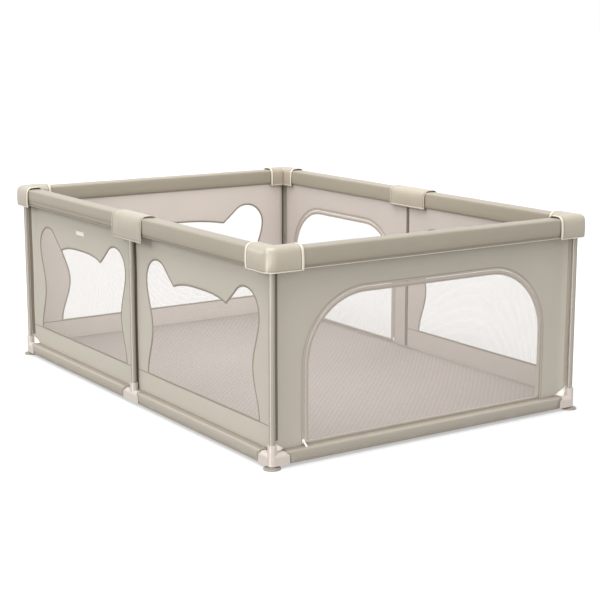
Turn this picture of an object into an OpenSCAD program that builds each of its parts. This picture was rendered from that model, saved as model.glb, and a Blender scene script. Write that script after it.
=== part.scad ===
// Rectangular baby playpen: a push-together frame of steel tubes, fabric and mesh walls,
// padded top rails, and two zipped doors that fold down on their bottom edges.
// Millimetres, Z up, origin on the ground at the middle of the pen.
// Each side is drawn in its own frame: x runs to the right as seen from outside,
// y points into the pen from the plane of the post axes, z is up.

/* [Frame] */
// Distance between corner post axes along the long side
post_span_x = 1750; // [1600:10:1900]
// Distance between corner post axes along the short side
post_span_y = 1190; // [1120:10:1300]
// Outer diameter of the horizontal steel tubes
tube_d = 22; // [20:0.5:22]
// Outer diameter of the upright posts
post_d = 19; // [18:0.5:22]
// Wall thickness of the steel tubes
tube_wall = 1.2; // [1:0.1:2]
// Height of the bottom tubes' axes
bottom_axis_z = 34; // [33:0.5:35]

/* [Top rail] */
// Width of the padded rail
rail_w = 54; // [50:1:56]
// Height of the padded rail
rail_h = 60; // [56:1:62]
// Height of the rail's underside
rail_bottom_z = 595; // [560:5:640]
// Radius of the padded rail's edges
rail_edge_r = 15; // [8:1:18]
// Length of a corner cap's arm from the post axis
cap_arm = 92; // [80:1:120]
// Half length of a middle cap
mid_cap_half = 104; // [90:1:120]
// How far the front middle cap sits to the right of its post
front_cap_shift = 30; // [0:1:36]
// How far the back middle cap sits to the left of its post, as seen from outside
back_cap_shift = 12; // [0:1:36]

/* [Walls] */
// Gap from the post axes' plane to the outside of the wall fabric
wall_in = 14.2; // [14.2:0.1:16]
// Thickness of the wall fabric
wall_t = 2.5; // [2:0.1:3]
// Thickness of the mesh
mesh_t = 1; // [0.8:0.1:1.5]
// Height of the seam between wall and bottom sleeve
seam_z = 47; // [46:0.5:48]
// Height of the windows' straight bottom edge
window_z = 120; // [100:5:140]
// Height of the windows' rounded ears
ear_top_z = 520; // [480:5:530]

/* [Doors] */
// Half width of the door opening in the short side
end_door_half = 480; // [420:5:490]
// Corner radius of that opening
end_door_r = 230; // [150:5:240]
// Half width of the door opening in the long side
back_door_half = 358; // [300:2:365]
// Corner radius of that opening
back_door_r = 200; // [150:5:220]
// Height of the top of both openings
door_top_z = 515; // [480:5:530]
// Height of the sliders' middles when the doors are shut
slider_z = 61; // [61:1:85]

/* [Feet] */
// Diameter of the suction cups
cup_d = 53; // [45:1:56]
// Height of the bases' undersides
base_bottom_z = 10; // [9:0.5:11]

/* [Hidden] */
$fn = 64;

half_x = post_span_x / 2;
half_y = post_span_y / 2;
tube_r = tube_d / 2;
post_r = post_d / 2;
rail_axis_z = rail_bottom_z + rail_h / 2;
rail_top_z = rail_bottom_z + rail_h;

// Top joints: short plastic sockets that hold the tubes' ends
socket_wall = 3;
socket_r = tube_r + socket_wall;
joint_reach = 55;
tube_end_gap = 16;
pad_end = joint_reach + 1;
post_top_z = rail_axis_z - tube_r - 4;

// Caps: padded covers a little larger than the rail, open underneath
cap_side = 3;
cap_top = 5;
cap_drop = 7;
mid_cap_top = 4;
mid_cap_drop = 23;
mid_cap_inner_drop = 4;
cap_edge_r = 17;

// Walls
wall_mid = wall_in + wall_t / 2;
wall_inner = wall_in + wall_t;
ear_r = 80;
ear_inner_angle = 140;
dip_from_edge = 192;
dip_z = ear_top_z - 70;
brow_z = ear_top_z - 51;
waist_depth = 37;
window_half = 355;
end_window_half = 467;

// Bottom sleeve: fabric around the bottom tube, ending short of the post axes
sleeve_r = tube_r + 3;
hem_z = 12;
hem_half = 1.5;
sleeve_gap = 57;

// Doors
tape_w = 6;
tape_t = 1.6;
zip_gap = 3;
border_w = 13;
border_hem = 6;
hinge_z = seam_z + 4;
flap_bottom_z = hinge_z + 1;

// Zip slider and pull
slider_play = 0.4;
slider_h = 12;
plate_t = 1.6;
pin_r = 0.9;
pull_bore_r = 0.95;
eye_r = 1.9;
eye_w = 4;
ear_w = 1.4;
pull_w = 6;
pull_t = 1.2;
pull_len = 30;
pull_tilt = 54;

// Bases
base_post_z = 18;
base_socket_top = 73;
wing_r = 15;
wing_end = 54;
wing_end_r = 16;
stud_r = 5;
stud_in = 4;

// Floor sheet: hangs from the walls' seam and lies on the ground in the middle
floor_t = 2;
floor_slope = 260;
floor_edge_z = seam_z - 3;
floor_rest_z = 1;

steel = [0.67, 0.63, 0.56];
plastic = [0.79, 0.75, 0.71];
rubber = [0.82, 0.79, 0.75];
leatherette = [0.80, 0.76, 0.69];
cloth = [0.75, 0.72, 0.67];
netting = [0.86, 0.84, 0.80, 0.5];
metal = [0.93, 0.92, 0.90];

// ---------- placing ----------

// Puts a side's own frame onto the front (0), right end (1), back (2) or left end (3)
module on_side(n) rotate(90 * n) translate([0, n % 2 == 0 ? -half_y : -half_x, 0]) children();

// Corner n stands at the right-hand end of side n; its arms run to -x and, inwards, to +y
module on_corner(n)
    on_side(n) translate([n % 2 == 0 ? half_x : half_y, 0, 0]) children();

// ---------- outlines ----------

function arc(cx, cy, r, from, to, steps) =
    [for (i = [0:steps]) let (a = from + (to - from) * i / steps) [cx + r * cos(a), cy + r * sin(a)]];

// Right half of a window with two rounded ears, from the top middle to the bottom corner
function window_half_outline(half) =
    let (ear_x = half - ear_r, ear_z = ear_top_z - ear_r, dip_x = half - dip_from_edge,
         side_h = ear_z - window_z)
    concat(
        [for (i = [0:6]) let (x = dip_x * i / 6) [x, brow_z - (brow_z - dip_z) * pow(x / dip_x, 3)]],
        arc(ear_x, ear_z, ear_r, ear_inner_angle, 0, 18),
        [for (i = [1:14]) let (z = ear_z - side_h * i / 14)
            [half - waist_depth * pow(sin(180 * (z - window_z) / side_h), 2), z]]);

function mirrored(points) = [for (i = [len(points) - 1:-1:0]) [-points[i].x, points[i].y]];

module window_outline(half) {
    right = window_half_outline(half);
    polygon(concat(right, mirrored(right)));
}

// Arch with rounded top corners, standing on height z0
module arch_outline(half, r, top, z0) {
    polygon(concat([[half, z0]], arc(half - r, top - r, r, 0, 90, 24),
                   arc(r - half, top - r, r, 90, 180, 24), [[-half, z0]]));
}

// Draws an upright x-z outline as a sheet of thickness t about the wall's middle plane
module upright(t) translate([0, wall_mid + t / 2, 0]) rotate([90, 0, 0]) linear_extrude(t) children();

// Runs a y-z section along x from x0 to x1
module along(x0, x1) translate([x0, 0, 0]) rotate([90, 0, 90]) linear_extrude(x1 - x0) children();

module rounded_box(w, z0, z1, r) {
    translate([-w / 2, z0 + r]) square([w, z1 - z0 - 2 * r]);
    translate([-w / 2 + r, z0]) square([w - 2 * r, z1 - z0]);
    for (x = [-1, 1], z = [z0 + r, z1 - r]) translate([x * (w / 2 - r), z]) circle(r);
}

// ---------- frame ----------

module pipe(length, r = tube_r) difference() {
    cylinder(r = r, h = length);
    translate([0, 0, -1]) cylinder(r = r - tube_wall, h = length + 2);
}

module post() color(steel) translate([0, 0, base_post_z]) pipe(post_top_z - base_post_z, post_r);

module pipe_along(x0, x1, z) translate([x0, 0, z]) rotate([0, 90, 0]) pipe(x1 - x0);

// One ring of tubes at height z: two in each long side and one in each short side
module tube_ring(z) color(steel) {
    for (n = [0, 2]) on_side(n) {
        pipe_along(-half_x + tube_end_gap, -tube_end_gap, z);
        pipe_along(tube_end_gap, half_x - tube_end_gap, z);
    }
    for (n = [1, 3]) on_side(n) pipe_along(-half_y + tube_end_gap, half_y - tube_end_gap, z);
}

module socket_arm(reach) translate([0, 0, rail_axis_z]) rotate([0, 90, 0]) cylinder(r = socket_r, h = reach);

module socket_bore(reach)
    translate([tube_end_gap, 0, rail_axis_z]) rotate([0, 90, 0]) cylinder(r = tube_r, h = reach);

// Push-fit top joint with a socket down and one arm for each angle
module top_joint(angles) color(plastic) difference() {
    union() {
        translate([0, 0, rail_bottom_z + 1]) cylinder(r = socket_r, h = rail_axis_z - rail_bottom_z - 1);
        translate([0, 0, rail_axis_z]) sphere(socket_r);
        for (a = angles) rotate(a) socket_arm(joint_reach);
    }
    translate([0, 0, rail_bottom_z - 1]) cylinder(r = post_r, h = post_top_z - rail_bottom_z + 1);
    for (a = angles) rotate(a) socket_bore(joint_reach);
}

// ---------- bases and suction cups ----------

// Outer part of a wing's side view, from its bottom edge round to its top
wing_nose = concat(arc(wing_end - 5, base_bottom_z + 5, 5, -90, 0, 6),
    arc(wing_end - wing_end_r, bottom_axis_z + wing_r - wing_end_r, wing_end_r, 0, 90, 12));

// Runs the side view through a bar from x0 to x1 that is round on top and flat below
module wing_bar(x0, x1, side_points) intersection() {
    translate([0, wing_r, 0]) rotate([90, 0, 0]) linear_extrude(2 * wing_r) polygon(side_points);
    along(x0, x1) {
        translate([0, bottom_axis_z]) circle(wing_r);
        translate([-wing_r, base_bottom_z]) square([2 * wing_r, bottom_axis_z - base_bottom_z]);
    }
}

module base_socket() translate([0, 0, base_bottom_z]) cylinder(r = socket_r, h = base_socket_top - base_bottom_z);

module post_hole() translate([0, 0, base_post_z]) cylinder(r = post_r, h = base_socket_top);

module tube_hole(reach)
    translate([tube_end_gap, 0, bottom_axis_z]) rotate([0, 90, 0]) cylinder(r = tube_r, h = reach);

module corner_base() color(plastic) difference() {
    points = concat([[0, base_bottom_z]], wing_nose, [[0, bottom_axis_z + wing_r]]);
    union() {
        base_socket();
        for (a = [180, 90]) rotate(a) wing_bar(0, wing_end, points);
    }
    post_hole();
    for (a = [180, 90]) rotate(a) tube_hole(wing_end);
    translate([0, 0, base_bottom_z - 1]) cylinder(r = stud_r, h = stud_in + 1);
}

module mid_base() color(plastic) difference() {
    union() {
        base_socket();
        wing_bar(-wing_end, wing_end, concat(wing_nose, mirrored(wing_nose)));
    }
    post_hole();
    for (a = [0, 180]) rotate(a) tube_hole(wing_end);
}

// Soft cup with a thin lip, a shallow hollow and a stud that plugs into the base
module cup() color(rubber) rotate_extrude($fn = 96) polygon(concat(
    [[0, 2.2], [10, 2], [cup_d / 2 - 7, 0.6], [cup_d / 2 - 6, 0], [cup_d / 2, 0], [cup_d / 2, 1.8]],
    arc(cup_d / 2 - 3, 1.8, 3, 10, 75, 5),
    [[13, 6.5], [11, base_bottom_z], [stud_r, base_bottom_z], [stud_r, base_bottom_z + stud_in],
     [0, base_bottom_z + stud_in]]));

// ---------- padded rails and caps ----------

module pad(x0, x1) color(leatherette) along(x0, x1) difference() {
    rounded_box(rail_w, rail_bottom_z, rail_top_z, rail_edge_r);
    translate([0, rail_axis_z]) circle(tube_r);
}

// Section of a cap: rounded on top, straight sides with a free hem below
module cap_outer(drop, top) {
    w = rail_w + 2 * cap_side;
    z0 = rail_bottom_z - drop;
    z1 = rail_top_z + top;
    translate([-w / 2, z0]) square([w, z1 - z0 - cap_edge_r]);
    translate([-w / 2 + cap_edge_r, z0]) square([w - 2 * cap_edge_r, z1 - z0]);
    for (x = [-1, 1]) translate([x * (w / 2 - cap_edge_r), z1 - cap_edge_r]) circle(cap_edge_r);
}

module cap_inner(drop) {
    rounded_box(rail_w, rail_bottom_z, rail_top_z, rail_edge_r);
    translate([-rail_w / 2, rail_bottom_z - drop - 1]) square([rail_w, drop + 1 + rail_h / 2]);
}

// Turns a section's right half a quarter turn about the post, for the cap's outer corner
module corner_turn() rotate([0, 0, -90]) rotate_extrude(angle = 90) intersection() {
    children();
    square([rail_w, 2 * rail_top_z]);
}

module corner_cap() color(leatherette) difference() {
    union() {
        along(-cap_arm, 0) cap_outer(cap_drop, cap_top);
        rotate(90) along(0, cap_arm) cap_outer(cap_drop, cap_top);
        corner_turn() cap_outer(cap_drop, cap_top);
    }
    along(-cap_arm - 1, 0) cap_inner(cap_drop);
    rotate(90) along(0, cap_arm + 1) cap_inner(cap_drop);
    corner_turn() cap_inner(cap_drop);
}

// Hangs lower outside than inside the pen
module mid_cap() color(leatherette) along(-mid_cap_half, mid_cap_half) difference() {
    cap_outer(mid_cap_drop, mid_cap_top);
    cap_inner(mid_cap_drop);
    translate([0, rail_bottom_z - mid_cap_drop - 1])
        square([rail_w, mid_cap_drop + 1 - mid_cap_inner_drop]);
}

// ---------- walls, windows and sleeves ----------

module wall_rectangle(x0, x1) translate([x0, seam_z]) square([x1 - x0, rail_bottom_z - seam_z]);

module window_panel(x0, x1, half) color(cloth) upright(wall_t) difference() {
    wall_rectangle(x0, x1);
    translate([(x0 + x1) / 2, 0]) window_outline(half);
}

module window_mesh(x, half) color(netting) translate([x, 0, 0]) upright(mesh_t) window_outline(half);

module door_panel(x0, x1, half, r) color(cloth) upright(wall_t) difference() {
    wall_rectangle(x0, x1);
    translate([(x0 + x1) / 2, 0]) arch_outline(half, r, door_top_z, hinge_z - 1.5);
}

// Point on the sleeve's round part where a line from p touches it, on side s of that line
function touch(p, s) =
    let (v = [p.x, p.y - bottom_axis_z], a = atan2(v.y, v.x) + s * acos(sleeve_r / norm(v)))
    [sleeve_r * cos(a), bottom_axis_z + sleeve_r * sin(a)];

module sleeve_section() difference() {
    seam_in = [wall_inner, seam_z];
    seam_out = [wall_in, seam_z];
    hem_in = [hem_half, hem_z];
    hem_out = [-hem_half, hem_z];
    union() {
        translate([0, bottom_axis_z]) circle(sleeve_r);
        polygon([seam_in, seam_out, touch(seam_out, 1), touch(hem_out, -1),
                 hem_out, hem_in, touch(hem_in, 1), touch(seam_in, -1)]);
    }
    translate([0, bottom_axis_z]) circle(tube_r);
}

// Sleeve between posts at x0 and x1
module sleeve(x0, x1) color(cloth) along(x0 + sleeve_gap, x1 - sleeve_gap) sleeve_section();

// Shallow tray of cloth, a flat slab in the middle and four sloping strips around it
module tray(x, y, z_edge, z_rest, t) hull() {
    translate([-x, -y, z_edge]) cube([2 * x, 2 * y, t]);
    translate([-x + floor_slope, -y + floor_slope, z_rest]) cube([2 * (x - floor_slope), 2 * (y - floor_slope), t]);
}

module floor_sheet() color(cloth) difference() {
    x = half_x - wall_inner - 0.5;
    y = half_y - wall_inner - 0.5;
    tray(x, y, floor_edge_z - floor_t, floor_rest_z, floor_t);
    tray(x, y, floor_edge_z, floor_rest_z + floor_t, 50);
}

// ---------- doors ----------

module door_border(half, r) color(cloth) upright(wall_t) {
    edge = tape_w + zip_gap;
    difference() {
        arch_outline(half - edge, r - edge, door_top_z - edge, flap_bottom_z);
        arch_outline(half - edge - border_w, r - edge - border_w, door_top_z - edge - border_w,
                     flap_bottom_z + border_hem);
    }
}

module door_mesh(half, r) color(netting) upright(mesh_t) {
    edge = tape_w + zip_gap + border_w;
    arch_outline(half - edge, r - edge, door_top_z - edge, flap_bottom_z + border_hem);
}

module zip_tape(half, r) color(cloth) upright(tape_t) difference() {
    arch_outline(half, r, door_top_z, hinge_z);
    arch_outline(half - tape_w, r - tape_w, door_top_z - tape_w, hinge_z - 1);
}

// Slider on the straight left-hand stretch of the zip: two plates joined by a web in the gap
module zip_slider(half) color(metal) {
    left = -half + slider_play;
    right = -half + tape_w + zip_gap - 2 * slider_play;
    web = 1.8;
    front_y = wall_mid - tape_t / 2 - 0.3 - plate_t;
    back_y = wall_mid + tape_t / 2 + 0.3;
    translate([0, 0, slider_z - slider_h / 2]) {
        for (y = [front_y, back_y]) translate([left, y, 0]) cube([right - left, plate_t, slider_h]);
        translate([right - web, front_y, 0]) cube([web, back_y + plate_t - front_y, slider_h]);
    }
    for (x = [left, right - ear_w]) hull() {
        translate([x, front_y - 0.1, slider_z - 3]) cube([ear_w, 0.1, 6]);
        translate([x, pull_axis_y(), slider_z]) rotate([0, 90, 0]) cylinder(r = 1.7, h = ear_w);
    }
    translate([left, pull_axis_y(), slider_z]) rotate([0, 90, 0]) cylinder(r = pin_r, h = right - left);
}

function pull_axis_y() = wall_mid - tape_t / 2 - 0.3 - plate_t - eye_r - 0.25;

// Pull tab with an eye on the slider's pin, resting tilted outwards on the sleeve
module zip_pull(half) color(metal) {
    mid = -half + (tape_w + zip_gap - slider_play) / 2;
    translate([mid, pull_axis_y(), slider_z]) rotate([-pull_tilt, 0, 0]) difference() {
        union() {
            translate([-eye_w / 2, 0, 0]) rotate([0, 90, 0]) cylinder(r = eye_r, h = eye_w);
            translate([-eye_w / 2, -pull_t / 2, -8]) cube([eye_w, pull_t, 8]);
            translate([-pull_w / 2, -pull_t / 2, -pull_len + 3]) cube([pull_w, pull_t, pull_len - 9]);
            translate([0, pull_t / 2, -pull_len + 3]) rotate([90, 0, 0]) cylinder(r = pull_w / 2, h = pull_t);
        }
        translate([-eye_w, 0, 0]) rotate([0, 90, 0]) cylinder(r = pull_bore_r, h = 2 * eye_w);
    }
}

// ---------- named sub-parts ----------

module front_right_post() on_corner(0) post();
module back_right_post() on_corner(1) post();
module back_left_post() on_corner(2) post();
module front_left_post() on_corner(3) post();
module front_mid_post() on_side(0) post();
module back_mid_post() on_side(2) post();
module top_tubes() tube_ring(rail_axis_z);
module bottom_tubes() tube_ring(bottom_axis_z);
module corner_joints() for (n = [0:3]) on_corner(n) top_joint([180, 90]);
module mid_joints() for (n = [0, 2]) on_side(n) top_joint([0, 180]);

module front_right_base() on_corner(0) corner_base();
module back_right_base() on_corner(1) corner_base();
module back_left_base() on_corner(2) corner_base();
module front_left_base() on_corner(3) corner_base();
module front_mid_base() on_side(0) mid_base();
module back_mid_base() on_side(2) mid_base();
module front_right_cup() on_corner(0) cup();
module back_right_cup() on_corner(1) cup();
module back_left_cup() on_corner(2) cup();
module front_left_cup() on_corner(3) cup();

module half_pad() pad(pad_end, half_x - pad_end);
module front_left_pad() on_side(0) mirror([1, 0, 0]) half_pad();
module front_right_pad() on_side(0) half_pad();
module back_right_pad() on_side(2) mirror([1, 0, 0]) half_pad();
module back_left_pad() on_side(2) half_pad();
module right_end_pad() on_side(1) pad(-half_y + pad_end, half_y - pad_end);
module left_end_pad() on_side(3) pad(-half_y + pad_end, half_y - pad_end);

module front_right_cap() on_corner(0) corner_cap();
module back_right_cap() on_corner(1) corner_cap();
module back_left_cap() on_corner(2) corner_cap();
module front_left_cap() on_corner(3) corner_cap();
module front_mid_cap() on_side(0) translate([front_cap_shift, 0, 0]) mid_cap();
module back_mid_cap() on_side(2) translate([-back_cap_shift, 0, 0]) mid_cap();

long_end = half_x - wall_in;
short_end = half_y - wall_inner;
module front_left_panel() on_side(0) window_panel(-long_end, 0, window_half);
module front_right_panel() on_side(0) window_panel(0, long_end, window_half);
module back_right_panel() on_side(2) window_panel(-long_end, 0, window_half);
module left_end_panel() on_side(3) window_panel(-short_end, short_end, end_window_half);
module back_left_panel() on_side(2) door_panel(0, long_end, back_door_half, back_door_r);
module right_end_panel() on_side(1) door_panel(-short_end, short_end, end_door_half, end_door_r);
module front_left_window() on_side(0) window_mesh(-long_end / 2, window_half);
module front_right_window() on_side(0) window_mesh(long_end / 2, window_half);
module back_right_window() on_side(2) window_mesh(-long_end / 2, window_half);
module left_end_window() on_side(3) window_mesh(0, end_window_half);

module front_left_sleeve() on_side(0) sleeve(-half_x, 0);
module front_right_sleeve() on_side(0) sleeve(0, half_x);
module back_right_sleeve() on_side(2) sleeve(-half_x, 0);
module back_left_sleeve() on_side(2) sleeve(0, half_x);
module right_end_sleeve() on_side(1) sleeve(-half_y, half_y);
module left_end_sleeve() on_side(3) sleeve(-half_y, half_y);

module on_end_door() on_side(1) children();
module on_back_door() on_side(2) translate([long_end / 2, 0, 0]) children();
module right_door_border() on_end_door() door_border(end_door_half, end_door_r);
module right_door_mesh() on_end_door() door_mesh(end_door_half, end_door_r);
module right_zip_tape() on_end_door() zip_tape(end_door_half, end_door_r);
module right_zip_slider() on_end_door() zip_slider(end_door_half);
module right_zip_pull() on_end_door() zip_pull(end_door_half);
module back_door_border() on_back_door() door_border(back_door_half, back_door_r);
module back_door_mesh() on_back_door() door_mesh(back_door_half, back_door_r);
module back_zip_tape() on_back_door() zip_tape(back_door_half, back_door_r);
module back_zip_slider() on_back_door() zip_slider(back_door_half);
module back_zip_pull() on_back_door() zip_pull(back_door_half);

front_left_post();
front_right_post();
back_right_post();
back_left_post();
front_mid_post();
back_mid_post();
top_tubes();
bottom_tubes();
corner_joints();
mid_joints();
front_left_base();
front_right_base();
back_right_base();
back_left_base();
front_mid_base();
back_mid_base();
front_left_cup();
front_right_cup();
back_right_cup();
back_left_cup();
front_left_pad();
front_right_pad();
right_end_pad();
back_right_pad();
back_left_pad();
left_end_pad();
front_left_cap();
front_right_cap();
back_right_cap();
back_left_cap();
front_mid_cap();
back_mid_cap();
front_left_panel();
front_right_panel();
right_end_panel();
back_right_panel();
back_left_panel();
left_end_panel();
front_left_window();
front_right_window();
left_end_window();
back_right_window();
front_left_sleeve();
front_right_sleeve();
right_end_sleeve();
back_right_sleeve();
back_left_sleeve();
left_end_sleeve();
floor_sheet();
right_door_border();
right_door_mesh();
right_zip_tape();
right_zip_slider();
right_zip_pull();
back_door_border();
back_door_mesh();
back_zip_tape();
back_zip_slider();
back_zip_pull();
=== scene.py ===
"""Looks of the playpen: its soft parts, zips and materials, the studio light and the camera."""

import math

import bpy
import numpy as np
from mathutils import Matrix, Vector, noise
from mathutils.geometry import delaunay_2d_cdt


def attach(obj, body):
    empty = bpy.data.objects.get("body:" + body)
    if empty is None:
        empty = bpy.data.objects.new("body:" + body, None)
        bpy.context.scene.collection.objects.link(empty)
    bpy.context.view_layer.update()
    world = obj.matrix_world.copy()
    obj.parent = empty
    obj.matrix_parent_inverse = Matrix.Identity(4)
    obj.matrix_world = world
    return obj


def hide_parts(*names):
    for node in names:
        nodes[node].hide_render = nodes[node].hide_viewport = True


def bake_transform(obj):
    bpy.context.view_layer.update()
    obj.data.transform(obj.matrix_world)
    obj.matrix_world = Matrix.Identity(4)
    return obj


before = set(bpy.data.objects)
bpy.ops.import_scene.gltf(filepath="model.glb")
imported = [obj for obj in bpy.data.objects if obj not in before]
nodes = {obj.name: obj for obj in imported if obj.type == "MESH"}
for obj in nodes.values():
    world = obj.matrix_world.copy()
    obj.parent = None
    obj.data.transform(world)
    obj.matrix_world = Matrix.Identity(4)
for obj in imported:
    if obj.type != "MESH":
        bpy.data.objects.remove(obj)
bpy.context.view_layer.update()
scene = bpy.context.scene

# Sizes in metres. Sides are numbered 0 front, 1 right end, 2 back, 3 left end.
HALF_X, HALF_Y = 0.875, 0.595  # to the axes of the corner posts
TUBE_R = 0.011
END_X, END_Y = HALF_X - TUBE_R - 0.0005, HALF_Y - TUBE_R - 0.0005  # a wall's ends
WALL = 0.01545  # from the post axes in to the wall cloth
WALL_THICK = 0.0016
SEAM_Z = 0.047  # where wall, sleeve and floor sheet are sewn together
CUT_Z = 0.079  # where a wall's lower corner is cut away beside a corner post
CUT_WIDTH = 0.046
BRIGHT_PATCH_WIDTH = 0.050
HINGE_Z = 0.051
TEETH_Z = 0.076  # the door's row of teeth starts above the slider
WINDOW_Z = 0.120
EAR_TOP_Z, EAR_R = 0.520, 0.080
DOOR_TOP_Z = 0.515
RAIL_Z0, RAIL_Z1 = 0.595, 0.655
RAIL_W = 0.054
RAIL_EDGE_R, RAIL_TOP_R = 0.012, 0.007
RAIL_START = 0.056  # a rail's padding starts inside the caps, this far from a post
WALL_TOP_Z = RAIL_Z0 + 0.006
PANEL_MID = (HALF_X - 0.0142) / 2
WINDOW_HALF, END_WINDOW_HALF = 0.355, 0.467
END_DOOR = (0.480, 0.230)  # half width and corner radius
BACK_DOOR = (0.358, 0.200)
SLEEVE_GAP = 0.057
FLOOR_Z = SEAM_Z - 0.003
FLOOR_IN = 0.0172  # from the post axes in to the floor sheet's edge
CAP_W = 0.030  # half a cap's width
CAP_R = 0.017  # the rounding of a cap's top
CAP_ARM = 0.092
SADDLE_HALF = 0.104
SADDLE_SHIFT = {0: 0.030, 2: -0.012}  # how far a middle cap sits off its post, by side

# Name, side and ends of the top rails and bottom sleeves; 0 is a middle post
RUNS = [
    ("front_left", 0, -HALF_X, 0.0),
    ("front_right", 0, 0.0, HALF_X),
    ("back_right", 2, -HALF_X, 0.0),
    ("back_left", 2, 0.0, HALF_X),
    ("right_end", 1, -HALF_Y, HALF_Y),
    ("left_end", 3, -HALF_Y, HALF_Y),
]


# ---------- materials ----------

ROUGH_VARY = 0.06
WEAVE_DEPTH = 0.0002
THREAD, THREAD_EDGE = 0.30, 0.14  # a net thread's width and soft edge, as parts of a mesh
NET_ALPHA = (0.66, 0.14)  # on a thread and in a hole


def rgb(r, g, b):
    """Linear colour of an 8-bit sRGB one."""
    return tuple(
        (c / 255 / 12.92 if c <= 10 else ((c / 255 + 0.055) / 1.055) ** 2.4)
        for c in (r, g, b)
    )


def node(tree, kind, **values):
    n = tree.nodes.new(kind)
    for k, v in values.items():
        n.inputs[k.replace("_", " ")].default_value = v
    return n


def math_node(tree, operation, a, b=None):
    n = tree.nodes.new("ShaderNodeMath")
    n.operation = operation
    for i, v in enumerate((a, b)):
        if v is None:
            continue
        if isinstance(v, (int, float)):
            n.inputs[i].default_value = v
        else:
            tree.links.new(v, n.inputs[i])
    return n.outputs[0]


def wave(tree, value, period):
    return math_node(tree, "SINE", math_node(tree, "MULTIPLY", value, 2 * math.pi / period))


def shaded(tree, colour, tone):
    """A colour multiplied by a tone."""
    mix = tree.nodes.new("ShaderNodeMix")
    mix.data_type = "RGBA"
    mix.blend_type = "MULTIPLY"
    mix.inputs["Factor"].default_value = 1
    tree.links.new(colour, mix.inputs["A"])
    tree.links.new(tone, mix.inputs["B"])
    return mix.outputs["Result"]


def material(
    name,
    colour,
    rough,
    spec=0.5,
    sheen=0.0,
    coat=0.0,
    coat_rough=0.2,
    vary=0.05,
    vary_scale=9,
    warm=0.0,
    weave=0.0,
    twill=0.0,
    net=0.0,
    grain=0.0,
    grain_depth=0.0003,
):
    """A procedural finish. weave, twill and net are periods in metres along UV.

    grain is a noise scale per metre. warm tints the light patches red and the dark ones green.
    """
    m = bpy.data.materials.new(name)
    m.use_nodes = True
    t = m.node_tree
    link = t.links.new
    shader = t.nodes["Principled BSDF"]
    for socket, value in (
        ("Roughness", rough),
        ("Specular IOR Level", spec),
        ("Sheen Weight", sheen),
        ("Coat Weight", coat),
        ("Coat Roughness", coat_rough),
    ):
        shader.inputs[socket].default_value = value
    place = t.nodes.new("ShaderNodeTexCoord")

    cloud = node(t, "ShaderNodeTexNoise", Scale=vary_scale, Detail=3.0)
    link(place.outputs["Object"], cloud.inputs["Vector"])
    mix = t.nodes.new("ShaderNodeMix")
    mix.data_type = "RGBA"
    tint = (1 + warm, 1 - warm / 2, 1 + warm / 3)
    dark = tuple(c * (1 - vary) / w for c, w in zip(colour, tint))
    light = tuple(min(1, c * (1 + vary) * w) for c, w in zip(colour, tint))
    mix.inputs["A"].default_value = dark + (1,)
    mix.inputs["B"].default_value = light + (1,)
    link(cloud.outputs["Fac"], mix.inputs["Factor"])
    base = mix.outputs["Result"]
    rough_range = node(
        t, "ShaderNodeMapRange", To_Min=rough - ROUGH_VARY, To_Max=rough + ROUGH_VARY
    )
    link(cloud.outputs["Fac"], rough_range.inputs["Value"])
    link(rough_range.outputs["Result"], shader.inputs["Roughness"])

    height = None
    if weave or net:
        flat = t.nodes.new("ShaderNodeSeparateXYZ")
        link(place.outputs["UV"], flat.inputs["Vector"])
        u, v = flat.outputs["X"], flat.outputs["Y"]
    if weave:
        cross = math_node(t, "MULTIPLY", wave(t, u, weave), wave(t, v, weave))
        height = math_node(t, "ADD", math_node(t, "MULTIPLY", cross, 0.5), 0.5)
        tone = node(t, "ShaderNodeMapRange", To_Min=0.93, To_Max=1.03)
        link(height, tone.inputs["Value"])
        base = shaded(t, base, tone.outputs["Result"])
    if twill:
        rib = node(t, "ShaderNodeMapRange", From_Min=-1.0, To_Min=0.86, To_Max=1.05)
        link(wave(t, math_node(t, "ADD", u, v), twill), rib.inputs["Value"])
        base = shaded(t, base, rib.outputs["Result"])
    if net:
        threads = [
            math_node(t, "ABSOLUTE", wave(t, math_node(t, way, u, v), 2 * net))
            for way in ("ADD", "SUBTRACT")
        ]
        cut = node(
            t,
            "ShaderNodeMapRange",
            From_Min=THREAD - THREAD_EDGE,
            From_Max=THREAD + THREAD_EDGE,
            To_Min=NET_ALPHA[0],
            To_Max=NET_ALPHA[1],
        )
        link(math_node(t, "MINIMUM", *threads), cut.inputs["Value"])
        height = cut.outputs["Result"]
        link(height, shader.inputs["Alpha"])
    if grain:
        speck = node(t, "ShaderNodeTexNoise", Scale=grain, Detail=2.0)
        link(place.outputs["Object"], speck.inputs["Vector"])
        height = speck.outputs["Fac"]
    bump = node(
        t, "ShaderNodeBump", Strength=0.5, Distance=grain_depth if grain else WEAVE_DEPTH
    )
    link(height, bump.inputs["Height"])
    link(bump.outputs["Normal"], shader.inputs["Normal"])
    link(base, shader.inputs["Base Color"])
    return m


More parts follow.
